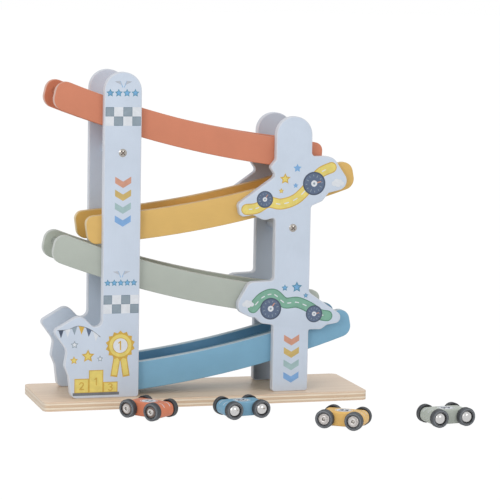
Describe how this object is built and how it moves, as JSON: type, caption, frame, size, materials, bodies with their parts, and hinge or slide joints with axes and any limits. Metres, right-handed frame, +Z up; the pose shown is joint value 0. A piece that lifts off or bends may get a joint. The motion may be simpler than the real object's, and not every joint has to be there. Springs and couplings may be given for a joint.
{
  "type": "toy car ramp",
  "caption": "Wooden toy car racer: curved ramps zigzag down between two pairs of upright posts on a plywood base, with small wooden cars whose wheels spin.",
  "frame": {"origin": "on the floor under the middle of the base board, at the mount floor_rest", "axes": "X along the base to the right as seen from the printed side, Y to the rear, Z up"},
  "size_m": [0.4062, 0.2638, 0.341],
  "materials": {
    "terracotta_paint": "painted plywood, satin",
    "mustard_paint": "painted plywood, satin",
    "sage_paint": "painted plywood, satin",
    "blue_paint": "painted plywood, satin",
    "pale_blue_paint": "painted plywood, satin",
    "bare_plywood": "clear matt lacquer",
    "steel": "nickel plated",
    "tyre_rubber": "satin dark grey"
  },
  "bodies": {
    "track": {"base_board": "bare_plywood", "left_front_post": "pale_blue_paint", "left_rear_post": "pale_blue_paint", "right_front_post": "pale_blue_paint", "right_rear_post": "pale_blue_paint", "terracotta_front_rail": "terracotta_paint", "terracotta_rear_rail": "terracotta_paint", "terracotta_deck": "terracotta_paint", "mustard_front_rail": "mustard_paint", "mustard_rear_rail": "mustard_paint", "mustard_deck": "mustard_paint", "sage_front_rail": "sage_paint", "sage_rear_rail": "sage_paint", "sage_deck": "sage_paint", "blue_front_rail": "blue_paint", "blue_rear_rail": "blue_paint", "blue_deck": "blue_paint", "left_spacer": "pale_blue_paint", "right_spacer": "pale_blue_paint", "post_screws": "steel", "base_screws": "steel"},
    "terracotta_car": {"terracotta_car_body": "terracotta_paint"},
    "terracotta_front_wheelset": {"terracotta_car_front_axle": "steel", "terracotta_car_front_cap": "steel", "terracotta_car_front_left_wheel": "tyre_rubber", "terracotta_car_front_right_wheel": "tyre_rubber"},
    "terracotta_rear_wheelset": {"terracotta_car_rear_axle": "steel", "terracotta_car_rear_cap": "steel", "terracotta_car_rear_left_wheel": "tyre_rubber", "terracotta_car_rear_right_wheel": "tyre_rubber"},
    "blue_car": {"blue_car_body": "blue_paint"},
    "blue_front_wheelset": {"blue_car_front_axle": "steel", "blue_car_front_cap": "steel", "blue_car_front_left_wheel": "tyre_rubber", "blue_car_front_right_wheel": "tyre_rubber"},
    "blue_rear_wheelset": {"blue_car_rear_axle": "steel", "blue_car_rear_cap": "steel", "blue_car_rear_left_wheel": "tyre_rubber", "blue_car_rear_right_wheel": "tyre_rubber"},
    "mustard_car": {"mustard_car_body": "mustard_paint"},
    "mustard_front_wheelset": {"mustard_car_front_axle": "steel", "mustard_car_front_cap": "steel", "mustard_car_front_left_wheel": "tyre_rubber", "mustard_car_front_right_wheel": "tyre_rubber"},
    "mustard_rear_wheelset": {"mustard_car_rear_axle": "steel", "mustard_car_rear_cap": "steel", "mustard_car_rear_left_wheel": "tyre_rubber", "mustard_car_rear_right_wheel": "tyre_rubber"},
    "sage_car": {"sage_car_body": "sage_paint"},
    "sage_front_wheelset": {"sage_car_front_axle": "steel", "sage_car_front_cap": "steel", "sage_car_front_left_wheel": "tyre_rubber", "sage_car_front_right_wheel": "tyre_rubber"},
    "sage_rear_wheelset": {"sage_car_rear_axle": "steel", "sage_car_rear_cap": "steel", "sage_car_rear_left_wheel": "tyre_rubber", "sage_car_rear_right_wheel": "tyre_rubber"}
  },
  "joints": [
    {"name": "terracotta_car_roll", "type": "slide", "parent": "track", "child": "terracotta_car", "axis": [0.6334, -0.7738, 0], "range_m": [-0.01, 0.04]},
    {"name": "terracotta_front_spin", "type": "hinge", "parent": "terracotta_car", "child": "terracotta_front_wheelset", "pos_m": [-0.0652, -0.10991, 0.00915], "axis": [0.7738, 0.6334, 0], "continuous": true},
    {"name": "terracotta_rear_spin", "type": "hinge", "parent": "terracotta_car", "child": "terracotta_rear_wheelset", "pos_m": [-0.0842, -0.08669, 0.00915], "axis": [0.7738, 0.6334, 0], "continuous": true},
    {"name": "blue_car_roll", "type": "slide", "parent": "track", "child": "blue_car", "axis": [-0.9877, -0.1564, 0], "range_m": [-0.04, 0.01]},
    {"name": "blue_front_spin", "type": "hinge", "parent": "blue_car", "child": "blue_front_wheelset", "pos_m": [0.00318, -0.11375, 0.00915], "axis": [0.1564, -0.9877, 0], "continuous": true},
    {"name": "blue_rear_spin", "type": "hinge", "parent": "blue_car", "child": "blue_rear_wheelset", "pos_m": [0.03281, -0.10905, 0.00915], "axis": [0.1564, -0.9877, 0], "continuous": true},
    {"name": "mustard_car_roll", "type": "slide", "parent": "track", "child": "mustard_car", "axis": [0.807, -0.5906, 0], "range_m": [-0.03, 0.03]},
    {"name": "mustard_front_spin", "type": "hinge", "parent": "mustard_car", "child": "mustard_front_wheelset", "pos_m": [0.1139, -0.19126, 0.00915], "axis": [0.5906, 0.807, 0], "continuous": true},
    {"name": "mustard_rear_spin", "type": "hinge", "parent": "mustard_car", "child": "mustard_rear_wheelset", "pos_m": [0.0897, -0.17354, 0.00915], "axis": [0.5906, 0.807, 0], "continuous": true},
    {"name": "sage_car_roll", "type": "slide", "parent": "track", "child": "sage_car", "axis": [-0.9917, -0.1288, 0], "range_m": [-0.06, 0.015]},
    {"name": "sage_front_spin", "type": "hinge", "parent": "sage_car", "child": "sage_front_wheelset", "pos_m": [0.19173, -0.19163, 0.00915], "axis": [0.1288, -0.9917, 0], "continuous": true},
    {"name": "sage_rear_spin", "type": "hinge", "parent": "sage_car", "child": "sage_rear_wheelset", "pos_m": [0.22148, -0.18777, 0.00915], "axis": [0.1288, -0.9917, 0], "continuous": true}
  ]
}
